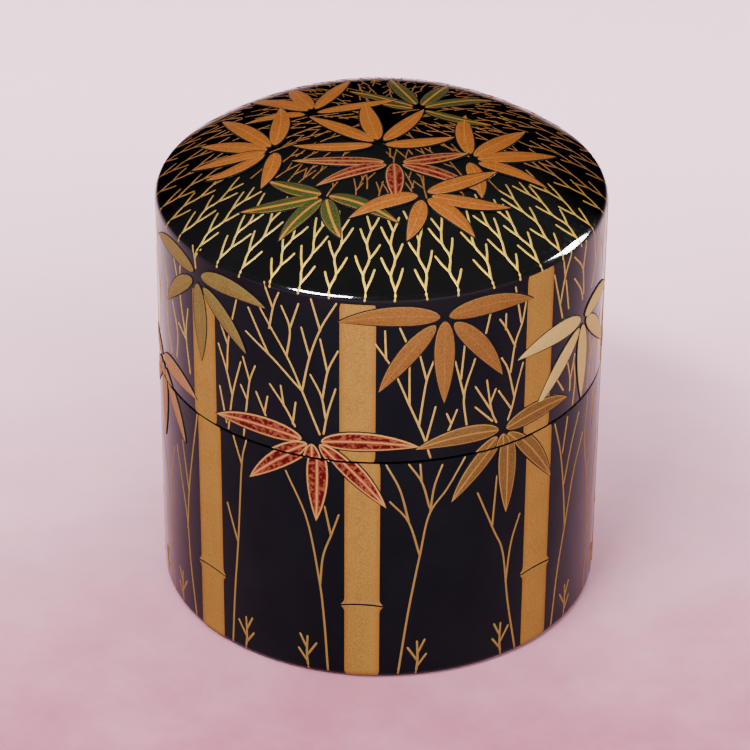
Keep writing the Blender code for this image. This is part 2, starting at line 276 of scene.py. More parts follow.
CUP_TWIGS = (
    (-13, 0.9, -14, 10, -15.3, 17, -18.5, 27, -24, 34.4), (-15, 16, -14.2, 21, -12, 25, -10.2, 28.4),
    (-12.2, 24.8, -13.8, 29.6), (5, 0.9, 7.5, 12, 10.2, 21.5, 12.5, 28.5, 17, 32.5, 21.5, 37.2),
    (10.2, 21.5, 7.2, 27.5, 2.6, 31), (7.3, 27.5, 5, 33, 1.6, 37.2), (12.7, 28.8, 13.6, 33, 15.6, 36.6),
    (12.5, 29.6, 10.5, 34, 7.2, 37.2), (10.4, 34.2, 10, 37.1),
    (37.8, 0.9, 35, 10, 33, 19, 30, 23.5, 25.2, 30.6), (29.6, 24, 30.6, 32.6),
    (34.2, 13.5, 35.5, 20, 38.1, 24.6), (-41, 0.9, -40, 10, -38.5, 20, -37, 33, -35.5, 37.3),
    (-38.8, 19.4, -42.1, 25.2), (-37, 33, -39.6, 37.2),
    (51.5, 0.9, 53.5, 10, 56.5, 18, 60, 26, 64.6, 31.2), (56.2, 17.6, 55, 24, 53, 31, 50, 36.9),
    (55, 25.2, 58, 31, 61.6, 35.6), (53.8, 31, 55.6, 36.6), (-56, 0.9, -58.5, 10, -60, 18, -65, 28.4),
    (-59.6, 15.6, -58, 24, -53.4, 37.2), (-58.4, 22.4, -61.4, 30.4),
    (-69.4, 0.9, -71.2, 11, -70, 20.4, -67, 27.4), (-71, 13.4, -74.4, 21.6, -80.2, 27.4),
    (70.2, 0.9, 71.6, 12, 69.4, 22, 72.2, 31.4, 70.6, 37.2), (71.2, 9.4, 75.2, 19, 78.4, 27.2),
    (69.6, 21.2, 66.2, 29.6, 67.4, 36.6), (72, 30.8, 75.6, 36.8),
)
SPRIG_ANGLES = (-63.2, -36.6, -18.2, 9.6, 33.2, 57.4, 79.2, 102.6)
SPRIG_STROKES = (
    (0.0, 0.8, 0.4, 3.2, 0.2, 6.4),
    (0.3, 3.0, -2.2, 5.4),
    (0.3, 2.0, 2.6, 4.0),
    (0.3, 4.2, 2.2, 6.6),
)
SIDES = (("front", 0.0), ("back", 180.0))

# Twig trees of the dome, in millimetres: joints of the zigzag trunk, as lengths in from the
# shoulder and across; pairs are the ends of a random range
TREE_SEED = 11
TREE_COUNT = 45
TREE_OFFSET = 0.44
TREE_JITTER = 0.7
TREE_STRETCH = (0.88, 1.12)
TREE_FOOT = (-1.3, 0.1)
TREE_JOINTS = ((0.2, 0.0), (2.4, 0.55), (4.9, -0.25), (7.2, 0.35), (9.4, -0.2))
NARROWING = 0.35
ARM_IN, ARM_ACROSS = 2.9, 1.4
IN_RANGE, ACROSS_RANGE = (0.75, 1.15), (0.75, 1.1)
BEND_IN, BEND_ACROSS = 0.5, 0.56
CROWN_IN, CROWN_ACROSS = 2.3, 0.9
TRUNK_WIDTH, ARM_WIDTH, CROWN_WIDTH = 0.46 * MM, 0.44 * MM, 0.42 * MM
TREE_TAPER = 0.85

# Small twigs between the dome's sprays, in millimetres: radius and count of each ring
INNER_SEED = 5
INNER_RINGS = (
    (21.6, 50), (19.4, 45), (17.2, 40), (15.0, 35), (12.8, 30), (10.6, 24), (8.4, 18), (6.2, 12),
)
INNER_JITTER = 0.06
STAGGER_RADIUS = 10.0
PROBE_REACH = 1.8
LEAF_CLEARANCE = 0.95 * MM
CROOK_IN, CROOK_ACROSS = 1.7, 0.2
LEFT_IN, LEFT_ACROSS = (1.8, 2.6), (0.3, 0.8)
RIGHT_IN, RIGHT_ACROSS = (1.2, 1.9), (0.5, 1.0)
LEFT_WIDTH, RIGHT_WIDTH = 0.32 * MM, 0.30 * MM


# ---------- outlines
def dome_at(cap, radius):
    """Height of the dome over a radius, and the tilt of its normal above the horizontal."""
    share = radius / cap.radius
    height = cap.apex - cap.rise * share**DOME_POWER
    slope = cap.rise * DOME_POWER * share ** (DOME_POWER - 1.0) / cap.radius
    return height, atan2(1.0, slope)


def shoulder_contact(cap):
    """Radius at which the shoulder fillet, tangent to the wall, meets the dome."""
    low, high = cap.radius - cap.fillet, cap.radius
    for _ in range(50):
        middle = (low + high) / 2
        if middle - cap.fillet * cos(dome_at(cap, middle)[1]) < cap.radius - cap.fillet:
            low = middle
        else:
            high = middle
    return low


def cap_rows(cap):
    """Rows (radius, height, tilt) from the top of the wall over the shoulder to the axis."""
    contact = shoulder_contact(cap)
    height, tilt = dome_at(cap, contact)
    centre_height = height - cap.fillet * sin(tilt)
    rows = []
    for step in range(ARC_STEPS):
        angle = tilt * step / ARC_STEPS
        radius = cap.radius - cap.fillet + cap.fillet * cos(angle)
        rows.append((radius, centre_height + cap.fillet * sin(angle), angle))
    for step in range(DOME_STEPS + 1):
        radius = contact * cos(pi / 2 * step / DOME_STEPS)
        rows.append((max(radius, 0.0), *dome_at(cap, max(radius, 0.0))))
    return rows


def rising_angles():
    """Angles of an arc that starts level at the bottom and ends upright."""
    return [pi / 2 * (step / ARC_STEPS - 1.0) for step in range(ARC_STEPS + 1)]


def foot_rows():
    """Rows of the rounded foot of the wall, from its lowest point up."""
    middle, reach = RADIUS - FOOT_FILLET, FOOT_FILLET
    return [(middle + reach * cos(a), reach + reach * sin(a), a) for a in rising_angles()]


def offset(rows, inset):
    """The (radius, height) points of rows, moved inwards along their normals."""
    return [
        (max(radius - inset * cos(tilt), 0.0), height - inset * sin(tilt))
        for radius, height, tilt in rows
    ]


SKIN = np.array(foot_rows() + cap_rows(OUTSIDE))
SKIN_RUN = np.concatenate([[0.0], np.cumsum(np.hypot(*np.diff(SKIN[:, :2], axis=0).T))])
SKIN_RUN += FOOT_FILLET - SKIN_RUN[ARC_STEPS]


def on_skin(angle, run, lift):
    """Points of the skin, lifted along its normal, and the normals there."""
    radius = np.interp(run, SKIN_RUN, SKIN[:, 0])
    height = np.interp(run, SKIN_RUN, SKIN[:, 1])
    tilt = np.interp(run, SKIN_RUN, SKIN[:, 2])
    out, up = np.cos(tilt), np.sin(tilt)
    reach = radius + lift * out
    points = np.stack([reach * np.sin(angle), -reach * np.cos(angle), height + lift * up], -1)
    return points, np.stack([out * np.sin(angle), -out * np.cos(angle), up], -1)


def run_at_radius(radius):
    """Run of the skin over a radius of the dome."""
    return np.interp(-np.asarray(radius, float), -SKIN[ARC_STEPS + 1 :, 0], SKIN_RUN[ARC_STEPS + 1 :])


def wall_chart(turn=0.0):
    """Chart of the unrolled wall: (length round the wall, run) to (angle, run)."""

    def place(x, y):
        return x / RADIUS + radians(turn), y

    return place


def plan_chart(x, y):
    """Chart of the dome seen from above: (x, y) to (angle, run)."""
    return np.arctan2(x, -y), run_at_radius(np.hypot(x, y))


def wall_point(angle, height):
    """Table values in degrees and millimetres to the unrolled wall."""
    return np.array([radians(angle) * RADIUS, height * MM])


# ---------- meshes
class Shape:
    """Points, faces and per-point values of one piece while it is put together."""

    def __init__(self):
        self.points = []
        self.faces = []
        self.slots = []
        self.values = {"rib": [], "rim": []}

    def add(self, points, faces, slot=0, rib=1.0, rim=1.0):
        first = len(self.points)
        self.points += [tuple(point) for point in points]
        self.faces += [tuple(first + corner for corner in face) for face in faces]
        self.slots += [slot] * len(faces)
        for name, value in (("rib", rib), ("rim", rim)):
            self.values[name] += list(np.broadcast_to(value, len(points)))

    def mesh(self, name):
        mesh = bpy.data.meshes.new(name)
        mesh.from_pydata(self.points, [], self.faces)
        mesh.polygons.foreach_set("material_index", self.slots)
        for key, values in self.values.items():
            attribute = mesh.attributes.new(key, "FLOAT", "POINT")
            attribute.data.foreach_set("value", np.array(values, np.float32))
        return mesh


def keep_side(mesh, height, above):
    """Cut a mesh of closed bodies at a height, keep one side and close the cuts."""
    bm = bmesh.new()
    bm.from_mesh(mesh)
    parts = list(bm.verts) + list(bm.edges) + list(bm.faces)
    plane = {"plane_co": (0.0, 0.0, height), "plane_no": (0.0, 0.0, 1.0)}
    sides = {"clear_outer": not above, "clear_inner": above}
    bmesh.ops.bisect_plane(bm, geom=parts, dist=1e-8, **plane, **sides)
    rim = [edge for edge in bm.edges if edge.is_boundary]
    bmesh.ops.holes_fill(bm, edges=rim, sides=0)
    bm.to_mesh(mesh)
    bm.free()


def put(item):
    """Link an object to the scene."""
    bpy.context.scene.collection.objects.link(item)


def add_piece(name, mesh, body, materials, replaced=()):
    """Make a smooth-shaded object of a mesh and let it ride on its body."""
    bm = bmesh.new()
    bm.from_mesh(mesh)
    bmesh.ops.recalc_face_normals(bm, faces=bm.faces)
    bm.to_mesh(mesh)
    bm.free()
    for material in materials:
        mesh.materials.append(material)
    mesh.shade_smooth()
    mesh.set_sharp_from_angle(angle=radians(SHARP_ANGLE))
    piece = bpy.data.objects.new(name, mesh)
    put(piece)
    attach(piece, body)
    if replaced:
        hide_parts(*replaced)


def turned_mesh(name, outline):
    """Closed turned body of an (r, z) outline that starts and ends on the axis or is a loop."""
    on_axis = outline[0][0] < 1e-9
    angles = np.arange(TURNED_SEGMENTS) * tau / TURNED_SEGMENTS
    bm = bmesh.new()
    columns = [
        [bm.verts.new((r * sin(a), -r * cos(a), z)) for r, z in outline] for a in angles
    ]
    count = len(outline)
    for column, following in zip(columns, columns[1:] + columns[:1]):
        for low in range(count - 1 if on_axis else count):
            high = (low + 1) % count
            bm.faces.new((column[low], following[low], following[high], column[high]))
    bmesh.ops.remove_doubles(bm, verts=bm.verts, dist=MERGE_DISTANCE)
    mesh = bpy.data.meshes.new(name)
    bm.to_mesh(mesh)
    bm.free()
    return mesh


def rounded(outline, corners, reach):
    """Replace the named corners of an outline by short arcs."""
    result = []
    for index, point in enumerate(outline):
        if index not in corners:
            result.append(point)
            continue
        here = Vector(point)
        before = (Vector(outline[index - 1]) - here).normalized() * reach
        after = (Vector(outline[(index + 1) % len(outline)]) - here).normalized() * reach
        for step in range(ROUND_STEPS + 1):
            share = step / ROUND_STEPS
            result.append(tuple(here + before * (1 - share) ** 2 + after * share**2))
    return result


# ---------- lacquer coats
def add_coat(name, outline, body, material, replaced):
    """Turned coat of lacquer that takes the place of CAD coats."""
    add_piece(name, turned_mesh(name, outline), body, [material], replaced)


def build_lid_coats(lacquer, lining):
    """Outer coat of the lid, turned in under the foot of its wall, and the coat inside it."""
    outer = cap_rows(OUTSIDE)[::-1]
    ledge_end = INSIDE.radius + 2 * COAT
    front = offset(outer, 0.0)
    outline = front + [(RADIUS, LID_FOOT), (ledge_end, LID_FOOT), (ledge_end, LID_FOOT + COAT)]
    outline += [(RADIUS - COAT, LID_FOOT + COAT)] + offset(outer, COAT)[::-1]
    outline = rounded(outline, (len(front),), EDGE_ROUND)
    add_coat("lid_lacquer", outline, "lid", lacquer, ["lid_outer_lacquer"])

    inner = cap_rows(INSIDE)[::-1]
    front = offset(inner, 0.0)
    outline = front + [(INSIDE.radius, LID_FOOT), (INSIDE.radius + COAT, LID_FOOT)]
    outline += offset(inner, -COAT)[::-1]
    outline = rounded(outline, (len(front), len(front) + 1), LID_LINING_ROUND)
    add_coat("lid_lining", outline, "lid", lining, ["lid_inner_lacquer"])


def cup_floor(inset):
    """Inside of the cup from the axis along the floor to the start of the wall."""
    reach = FLOOR_FILLET + inset
    middle, height = CUP_INSIDE - FLOOR_FILLET, FLOOR_TOP + FLOOR_FILLET
    arc = [(middle + reach * cos(a), height + reach * sin(a)) for a in rising_angles()]
    return [(0.0, FLOOR_TOP - inset)] + arc


def build_cup_coats(lacquer, lining):
    """Outer coat from the ledge to under the foot, and the coat inside and over the collar."""
    ledge_end = COLLAR_OUTSIDE + COAT
    inner_end = RECESS_RADIUS - RECESS_SLOPE
    recess = [(0.0, RECESS_DEPTH), (inner_end, RECESS_DEPTH), (RECESS_RADIUS, 0.0)]
    behind = [(0.0, RECESS_DEPTH + COAT), (inner_end + COAT / 2, RECESS_DEPTH + COAT)]
    behind += [(RECESS_RADIUS + COAT / 2, COAT)]
    outline = recess + offset(foot_rows(), 0.0)
    ledge = len(outline)
    outline += [(RADIUS, LEDGE), (ledge_end, LEDGE), (ledge_end, LEDGE - COAT)]
    outline += [(RADIUS - COAT, LEDGE - COAT)] + offset(foot_rows(), COAT)[::-1] + behind[::-1]
    outline = rounded(outline, (1, 2, ledge), EDGE_ROUND)
    replaced = ["cup_outer_lacquer", "base_lacquer"]
    add_coat("cup_lacquer", outline, "cup", lacquer, replaced)

    outline = cup_floor(0.0)
    rim = len(outline)
    outline += [(CUP_INSIDE, COLLAR_TOP), (COLLAR_OUTSIDE, COLLAR_TOP)]
    outline += [(COLLAR_OUTSIDE, LEDGE - COAT), (COLLAR_OUTSIDE - COAT, LEDGE - COAT)]
    outline += [(COLLAR_OUTSIDE - COAT, COLLAR_TOP - COAT), (CUP_INSIDE + COAT, COLLAR_TOP - COAT)]
    outline += cup_floor(COAT)[::-1]
    outline = rounded(outline, (rim, rim + 1), COLLAR_ROUND)
    add_coat("cup_lining", outline, "cup", lining, ["cup_inner_lacquer"])


# ---------- gold work
def add_plate(shape, grid, top, chart, slot=0, rib=1.0, rim=1.0):
    """Closed plate on the skin: grid holds (rows, columns, 2) chart points, top their heights."""
    rows, columns = grid.shape[:2]
    angle, run = chart(grid[..., 0], grid[..., 1])
    upper = on_skin(angle, run, top)[0].reshape(-1, 3)
    lower = on_skin(angle, run, np.full(angle.shape, SINK))[0].reshape(-1, 3)
    count = rows * columns
    faces = []
    for row in range(rows - 1):
        for column in range(columns - 1):
            a = row * columns + column
            b = a + columns
            faces.append((a, a + 1, b + 1, b))
            faces.append((count + a, count + b, count + b + 1, count + a + 1))
        for a in (row * columns, (row + 1) * columns - 1):
            faces.append((a, a + columns, count + a + columns, count + a))
    for row in (0, rows - 1):
        for column in range(columns - 1):
            a = row * columns + column
            faces.append((a, a + 1, count + a + 1, count + a))
    values = [np.tile(np.broadcast_to(value, (rows, columns)).ravel(), 2) for value in (rib, rim)]
    shape.add(np.concatenate([upper, lower]), faces, slot, *values)


def blade_grid(base, tip, width, bow, columns):
    """Chart points of a bamboo leaf and the half widths of its rows."""
    base, tip = np.array(base), np.array(tip)
    way = tip - base
    length = np.hypot(*way)
    left = np.array([-way[1], way[0]]) / length
    share = 0.5 - 0.5 * np.cos(np.linspace(0.0, pi, LEAF_ROWS))
    peak = WIDEST**OPENING * (1.0 - WIDEST) ** CLOSING
    profile = share**OPENING * (1.0 - share) ** CLOSING / peak
    half = np.maximum(width / 2 * profile, LEAST_HALF_WIDTH)
    bend = bow * 4.0 * share * (1.0 - share)
    middle = base + share[:, None] * way + bend[:, None] * left
    ahead = np.gradient(middle, axis=0)
    ahead /= np.hypot(ahead[:, 0], ahead[:, 1])[:, None]
    side = np.stack([-ahead[:, 1], ahead[:, 0]], -1)
    across = half[:, None] * np.array(columns)[None, :]
    return middle[:, None, :] + across[..., None] * side[:, None, :], half


def add_leaf(shape, base, tip, width, bow, chart, under):
    """One leaf of raised gold over a slightly larger black plate that parts it from others."""
    width, bow = width * MM, bow * MM
    way = tip - base
    step = way / np.hypot(*way) * KEY_MARGIN
    key_tip = tip + KEY_TIP_SHARE * step
    grid, half = blade_grid(base - step, key_tip, width + 2 * KEY_MARGIN, bow, KEY_COLUMNS)
    add_plate(shape, grid, np.full(grid.shape[:2], KEY_TOP + under), chart, 1)

    grid, half = blade_grid(base, tip, width, bow, LEAF_COLUMNS)
    columns = np.abs(np.array(LEAF_COLUMNS))[None, :]
    plump = np.minimum(half / PLUMP_HALF_WIDTH, 1.0)[:, None]
    crown = LEAF_CROWN * plump * np.sqrt(np.maximum(1.0 - columns**2, 0.0))
    ridge = RIB_HEIGHT * plump * np.where(columns == 0.0, 1.0, 0.0)
    top = KEY_TOP + under + LEAF_EDGE + crown + ridge
    rib = half[:, None] * columns / MM
    rim = half[:, None] * (1.0 - columns) / MM
    add_plate(shape, grid, top, chart, 0, rib, rim)


def smooth_path(points, spacing):
    """Points at an even spacing on a Catmull-Rom curve through the given ones."""
    points = np.array(points, float)
    ends = [2 * points[0] - points[1], *points, 2 * points[-1] - points[-2]]
    path = []
    for a, b, c, d in zip(ends, ends[1:], ends[2:], ends[3:]):
        steps = max(int(np.hypot(*(c - b)) / spacing), 1)
        for step in range(steps):
            t = step / steps
            square = 2 * a - 5 * b + 4 * c - d
            cube = 3 * b - a - 3 * c + d
            path.append(0.5 * (2 * b + (c - a) * t + square * t**2 + cube * t**3))
    path.append(points[-1])
    return np.array(path)


def add_stroke(shape, points, chart, width, taper=STROKE_TAPER):
    """Thin raised line of gold through chart points, narrower towards its end."""
    path = smooth_path(points, STROKE_SPACING)
    angle, run = chart(path[:, 0], path[:, 1])
    centre, normal = on_skin(angle, run, np.zeros(len(path)))
    ahead = np.gradient(centre, axis=0)
    ahead /= np.linalg.norm(ahead, axis=1)[:, None]
    tips = [centre[0] - ahead[0] * width * TIP_SHARE, centre[-1] + ahead[-1] * width * TIP_SHARE]
    centre = np.concatenate([tips[:1], centre, tips[1:]])
    normal = np.concatenate([normal[:1], normal, normal[-1:]])
    ahead = np.concatenate([ahead[:1], ahead, ahead[-1:]])
    side = np.cross(ahead, normal)
    share = np.linspace(0.0, 1.0, len(centre))
    half = width / 2 * (1.0 + (taper - 1.0) * share)
    half[[0, -1]] *= TIP_SHARE
    tall = np.full(len(centre), STROKE_TOP - SINK)
    tall[[0, -1]] *= TIP_HEIGHT_SHARE
    ring = np.array(STROKE_RING)
    points = (
        centre[:, None, :]
        + side[:, None, :] * (half[:, None] * ring[:, 0])[..., None]
        + normal[:, None, :] * (SINK + tall[:, None] * ring[:, 1])[..., None]
    )
    rows, columns = points.shape[:2]
    faces = []
    for row in range(rows - 1):
        for column in range(columns):
            a = row * columns + column
            b = row * columns + (column + 1) % columns
            faces.append((a, b, b + columns, a + columns))
    faces.append(tuple(range(columns)))
    faces.append(tuple(range((rows - 1) * columns, rows * columns)))
    shape.add(points.reshape(-1, 3), faces)


def wall_stroke(values):
    """A table row of angles and heights as points of the unrolled wall."""
    return [wall_point(angle, height) for angle, height in zip(values[::2], values[1::2])]


def add_culm(shape, centre, low, high, chart, flare_low, flare_high):
    """One joint of a culm; a flared end meets the neighbouring joint at a thin arched line."""
    columns = np.array(CULM_COLUMNS)
    ends = np.array(END_ROWS) * MM
    swell = np.array(END_SWELL) * MM
    middle = np.linspace(low + 2 * MM, high - 2 * MM, CULM_ROWS)
    heights = np.concatenate([low + ends, middle, high - ends[::-1]])
    half = np.full(len(heights), CULM_HALF_WIDTH)
    half[: len(ends)] += swell * (1.0 if flare_low else PLAIN_END_SHARE)
    half[-len(ends) :] += swell[::-1] * (1.0 if flare_high else PLAIN_END_SHARE)
    grid = np.zeros((len(heights), len(columns), 2))
    grid[..., 0] = centre + half[:, None] * columns
    grid[..., 1] = heights[:, None]
    arch = NODE_ARCH * (1.0 - columns**2)
    for row, distance in enumerate(ends):
        fade = 1.0 - distance / MM
        if flare_low:
            grid[row, :, 1] += arch * fade
        if flare_high:
            grid[-1 - row, :, 1] += arch * fade
    edge = np.where(np.abs(columns) == 1.0, CULM_EDGE_DROP, 0.0)
    top = np.broadcast_to(CULM_TOP - edge, grid.shape[:2]).copy()
    if flare_low:
        top[:2] += NODE_RIDGE
    if flare_high:
        top[-2:] += NODE_RIDGE
    add_plate(shape, grid, top, chart, rim=half[:, None] * (1.0 - np.abs(columns)) / MM)


def build_culms(gold):
    """Bamboo culms round the wall, each cut at the seam and replacing the CAD stems."""
    back = [(angle + 180.0, node, top) for angle, node, top in CULMS]
    for number, (angle, node, top) in enumerate([*CULMS, *back], start=1):
        centre = radians(angle) * RADIUS
        lower, upper = Shape(), Shape()
        place = wall_chart()
        add_culm(lower, centre, CULM_FOOT, node * MM - NODE_LINE, place, False, True)
        add_culm(lower, centre, node * MM + NODE_LINE, LEDGE - CULM_GAP, place, True, False)
        place = wall_chart(LID_TURN)
        add_culm(upper, centre, LID_FOOT + CULM_GAP, top * MM, place, False, False)
        for part, shape, body in (("lower", lower, "cup"), ("upper", upper, "lid")):
            name = f"culm_{part}_{number}"
            stem = f"gold_stem_{part}_{number}"
            add_piece(name, shape.mesh(name), body, [gold], [stem])


def wall_spray(leaves, turn, crossing):
    """Leaves of a wall spray; one that crosses the seam is drawn in the lid's frame."""
    shape = Shape()
    for order, (x0, y0, x1, y1, width, bow) in enumerate(leaves):
        shift = LID_TURN if crossing and y1 * MM < SEAM else 0.0
        base, tip = wall_point(x0, y0), wall_point(x1 + shift, y1)
        add_leaf(shape, base, tip, width, bow, wall_chart(turn), order * LEAF_STEP)
    return shape


def build_wall_sprays(leaf, key):
    """Sprays on the wall; those over the seam are cut into a lid and a cup part."""
    for side, turn in SIDES:
        for colour, leaves in LID_SPRAYS.items():
            name = f"spray_{colour}_{side}"
            material, slot = leaf[colour]
            mesh = wall_spray(leaves, turn, False).mesh(name)
            add_piece(name, mesh, "lid", [material, key])
        cuts = (("lid", turn, LID_FOOT + CUT_MARGIN), ("cup", turn - LID_TURN, LEDGE - CUT_MARGIN))
        for colour, leaves in SEAM_SPRAYS.items():
            material, slot = leaf[colour]
            for body, body_turn, height in cuts:
                name = f"spray_{colour}_{side}_{body}"
                mesh = wall_spray(leaves, body_turn, True).mesh(name)
                keep_side(mesh, height, body == "lid")
                add_piece(name, mesh, body, [material, key])


def build_dome_sprays(leaf, key):
    """Sprays on the dome, lying over one another."""
    for spray, colour, level, leaves in DOME_SPRAYS:
        shape = Shape()
        for order, (x0, y0, x1, y1, width, bow) in enumerate(leaves):
            base, tip = np.array([x0, y0]) * MM, np.array([x1, y1]) * MM
            under = level * LEVEL_STEP + order * LEAF_STEP
            add_leaf(shape, base, tip, width * DOME_LEAF_SLIMNESS, bow, plan_chart, under)
        name = f"dome_spray_{spray}"
        material, slot = leaf[colour]
        add_piece(name, shape.mesh(name), "lid", [material, key])


def add_sprig(shape, angle, chart, mirror):
    """Small forked sprig at the foot of the cup."""
    for values in SPRIG_STROKES:
        turned = [v * mirror + angle if i % 2 == 0 else v for i, v in enumerate(values)]
        add_stroke(shape, wall_stroke(turned), chart, SPRIG_WIDTH)


def build_wall_twigs(gold):
    """Twigs on the lid's wall and on the cup, front and back."""
    for side, turn in SIDES:
        chart = wall_chart(turn)
        lid, cup = Shape(), Shape()
        for values in LID_TWIGS:
            add_stroke(lid, wall_stroke(values), chart, LID_TWIG_WIDTH)
        for values in CUP_TWIGS:
            add_stroke(cup, wall_stroke(values), chart, CUP_TWIG_WIDTH)
        for number, angle in enumerate(SPRIG_ANGLES):
            add_sprig(cup, angle, chart, 1.0 if number % 2 else -1.0)
        for body, shape in (("lid", lid), ("cup", cup)):
            name = f"{body}_twigs_{side}"
            add_piece(name, shape.mesh(name), body, [gold])


def build_dome_trees(gold):
    """Forked twig trees standing all round the shoulder and leaning in over the dome."""
    between = random.Random(TREE_SEED).uniform
    shape = Shape()
    shoulder = run_at_radius(shoulder_contact(OUTSIDE)) / MM
    chart = wall_chart()
    for number in range(TREE_COUNT):
        jitter = radians(between(-TREE_JITTER, TREE_JITTER))
        angle = tau * (number + TREE_OFFSET) / TREE_COUNT + jitter
        mirror = 1.0 if number % 2 else -1.0
        stretch = between(*TREE_STRETCH)

        def spot(inward, across):
            run = (shoulder + inward) * MM
            radius = np.interp(run, SKIN_RUN, SKIN[:, 0])
            narrow = NARROWING + (1.0 - NARROWING) * radius / RADIUS
            return np.array([(angle + across * mirror * narrow * MM / radius) * RADIUS, run])

        joints = [(inward * stretch, across) for inward, across in TREE_JOINTS]
        trunk = [spot(*TREE_FOOT)] + [spot(*joint) for joint in joints]
        add_stroke(shape, trunk, chart, TRUNK_WIDTH, TREE_TAPER)
        side = -1.0
        for inward, across in joints:
            reach = ARM_IN * between(*IN_RANGE)
            spread = ARM_ACROSS * between(*ACROSS_RANGE)
            bend = spot(inward + BEND_IN * reach, across + side * BEND_ACROSS * spread)
            tip = spot(inward + reach, across + side * spread)
            arm = [spot(inward, across), bend, tip]
            add_stroke(shape, arm, chart, ARM_WIDTH, TREE_TAPER)
            side = -side
        inward, across = joints[-1]
        crown = [spot(inward, across), spot(inward + CROWN_IN, across + side * CROWN_ACROSS)]
        add_stroke(shape, crown, chart, CROWN_WIDTH, TREE_TAPER)
    add_piece("dome_trees", shape.mesh("dome_trees"), "lid", [gold])


def leaf_distance(point):
    """Shortest distance in plan from a point to the middle line of any dome leaf."""
    best = 1.0
    for *_, leaves in DOME_SPRAYS:
        for x0, y0, x1, y1, _, _ in leaves:
            base, tip = np.array([x0, y0]) * MM, np.array([x1, y1]) * MM
            way = tip - base
            share = np.clip(np.dot(point - base, way) / np.dot(way, way), 0.0, 1.0)
            best = min(best, float(np.hypot(*(point - base - share * way))))
    return best


def build_inner_twigs(gold):
    """Short forked twigs that fill the gaps between the dome's sprays."""
    between = random.Random(INNER_SEED).uniform
    shape = Shape()
    for radius, count in INNER_RINGS:
        stagger = 0.5 * (radius > STAGGER_RADIUS)
        for number in range(count):
            angle = tau * (number + stagger) / count
            angle += between(-INNER_JITTER, INNER_JITTER)
            side = 1.0 if number % 2 else -1.0
            inward = -np.array([sin(angle), -cos(angle)])
            across = np.array([-inward[1], inward[0]]) * side
            foot = -inward * radius * MM
            if leaf_distance(foot + inward * PROBE_REACH * MM) < LEAF_CLEARANCE:
                continue
            crook = foot + (inward * CROOK_IN + across * CROOK_ACROSS) * MM
            ahead = inward * between(*LEFT_IN)
            left = crook + (ahead + across * between(*LEFT_ACROSS)) * MM
            ahead = inward * between(*RIGHT_IN)
            right = crook + (ahead - across * between(*RIGHT_ACROSS)) * MM
            add_stroke(shape, [foot, crook, left], plan_chart, LEFT_WIDTH)
            add_stroke(shape, [crook, right], plan_chart, RIGHT_WIDTH)
    add_piece("dome_twigs", shape.mesh("dome_twigs"), "lid", [gold])


# ---------- materials
# Places where one finish, painted highlight or painted shade fades into another, in metres from the
# caddy's middle or its foot
DOME_PAINTED_SHADE = (0.0634, 0.0652)
NEUTRAL_SHOULDER = (0.0600, 0.0630)
DOME_FOOT = (0.0630, 0.0655)
# Painted highlight on the dome's twigs: its upper end, its front edge and its slant to the right; then
# where the painted shade round the back begins
PAINTED_HIGHLIGHT_END = (0.0700, 0.0720)
PAINTED_HIGHLIGHT_FRONT = (-0.032, -0.014)
PAINTED_HIGHLIGHT_SLANT = 0.4
PAINTED_SHADE_BACK = (-0.024, -0.004)
CUP_FADE = (0.032, 0.042)
PINK_BACK = (-0.07, 0.17)
PINK_FRONT = (-0.30, -0.08)

# Gold powders: dull, main and bright
CULM_POWDERS = ((0.185, 0.106, 0.020), (0.27, 0.164, 0.031), (0.37, 0.245, 0.060))
# The inner twigs' powders are a darker, redder copy of the twig gold: painted shade over the middle of
# the dome
INNER_SHADED_POWDERS = ((0.085, 0.028, 0.009), (0.155, 0.058, 0.016), (0.29, 0.14, 0.045))

# Leaves, in millimetres: where the streak starts from the lines, and how softly a line ends
HEART_DEPTH = (0.26, 0.42)
LINE_FADE = 0.12
CREAM = (0.50, 0.28, 0.08)
# Leaf colours: slot in the record; colour of the drawn lines, width of the midrib and of the
# outline and their strength; colour of the streak; dull, main and bright powder
LEAF_LOOKS = {
    "orange": ("gold_powder", (CREAM, 0.02, 0.05, 0.3), None, (
        (0.115, 0.046, 0.010), (0.168, 0.075, 0.016), (0.24, 0.130, 0.040),
    )),
    "dome_orange": ("gold_powder", (CREAM, 0.03, 0.03, 0.35), None, (
        (0.15, 0.036, 0.005), (0.23, 0.061, 0.009), (0.33, 0.115, 0.024),
    )),
    "khaki": ("green_gold_powder", (CREAM, 0.02, 0.04, 0.25), None, (
        (0.085, 0.068, 0.017), (0.13, 0.105, 0.027), (0.21, 0.17, 0.052),
    )),
    "pale": ("pale_gold_powder", (CREAM, 0.02, 0.06, 0.2), None, (
        (0.36, 0.29, 0.08), (0.46, 0.37, 0.11), (0.58, 0.48, 0.17),
    )),
    "green": ("green_gold_powder", ((0.36, 0.13, 0.018), 0.15, 0.02, 0.9), None, (
        (0.014, 0.024, 0.006), (0.024, 0.037, 0.009), (0.058, 0.066, 0.018),
    )),
    "red": ("red_lacquer", ((0.44, 0.25, 0.07), 0.11, 0.22, 0.9), (0.07, 0.004, 0.005), (
        (0.12, 0.018, 0.012), (0.18, 0.036, 0.022), (0.29, 0.11, 0.05),
    )),
    "dome_red": ("red_lacquer", ((0.29, 0.13, 0.035), 0.09, 0.15, 0.9), (0.06, 0.003, 0.004), (
        (0.10, 0.012, 0.010), (0.15, 0.022, 0.015), (0.22, 0.060, 0.030),
    )),
    "brown": ("gold_powder", ((0.34, 0.19, 0.05), 0.10, 0.12, 0.9), None, (
        (0.075, 0.042, 0.011), (0.12, 0.067, 0.018), (0.20, 0.125, 0.040),
    )),
    "rose": ("gold_powder", (CREAM, 0.05, 0.08, 0.4), None, (
        (0.20, 0.09, 0.04), (0.27, 0.13, 0.055), (0.36, 0.20, 0.09),
    )),
}


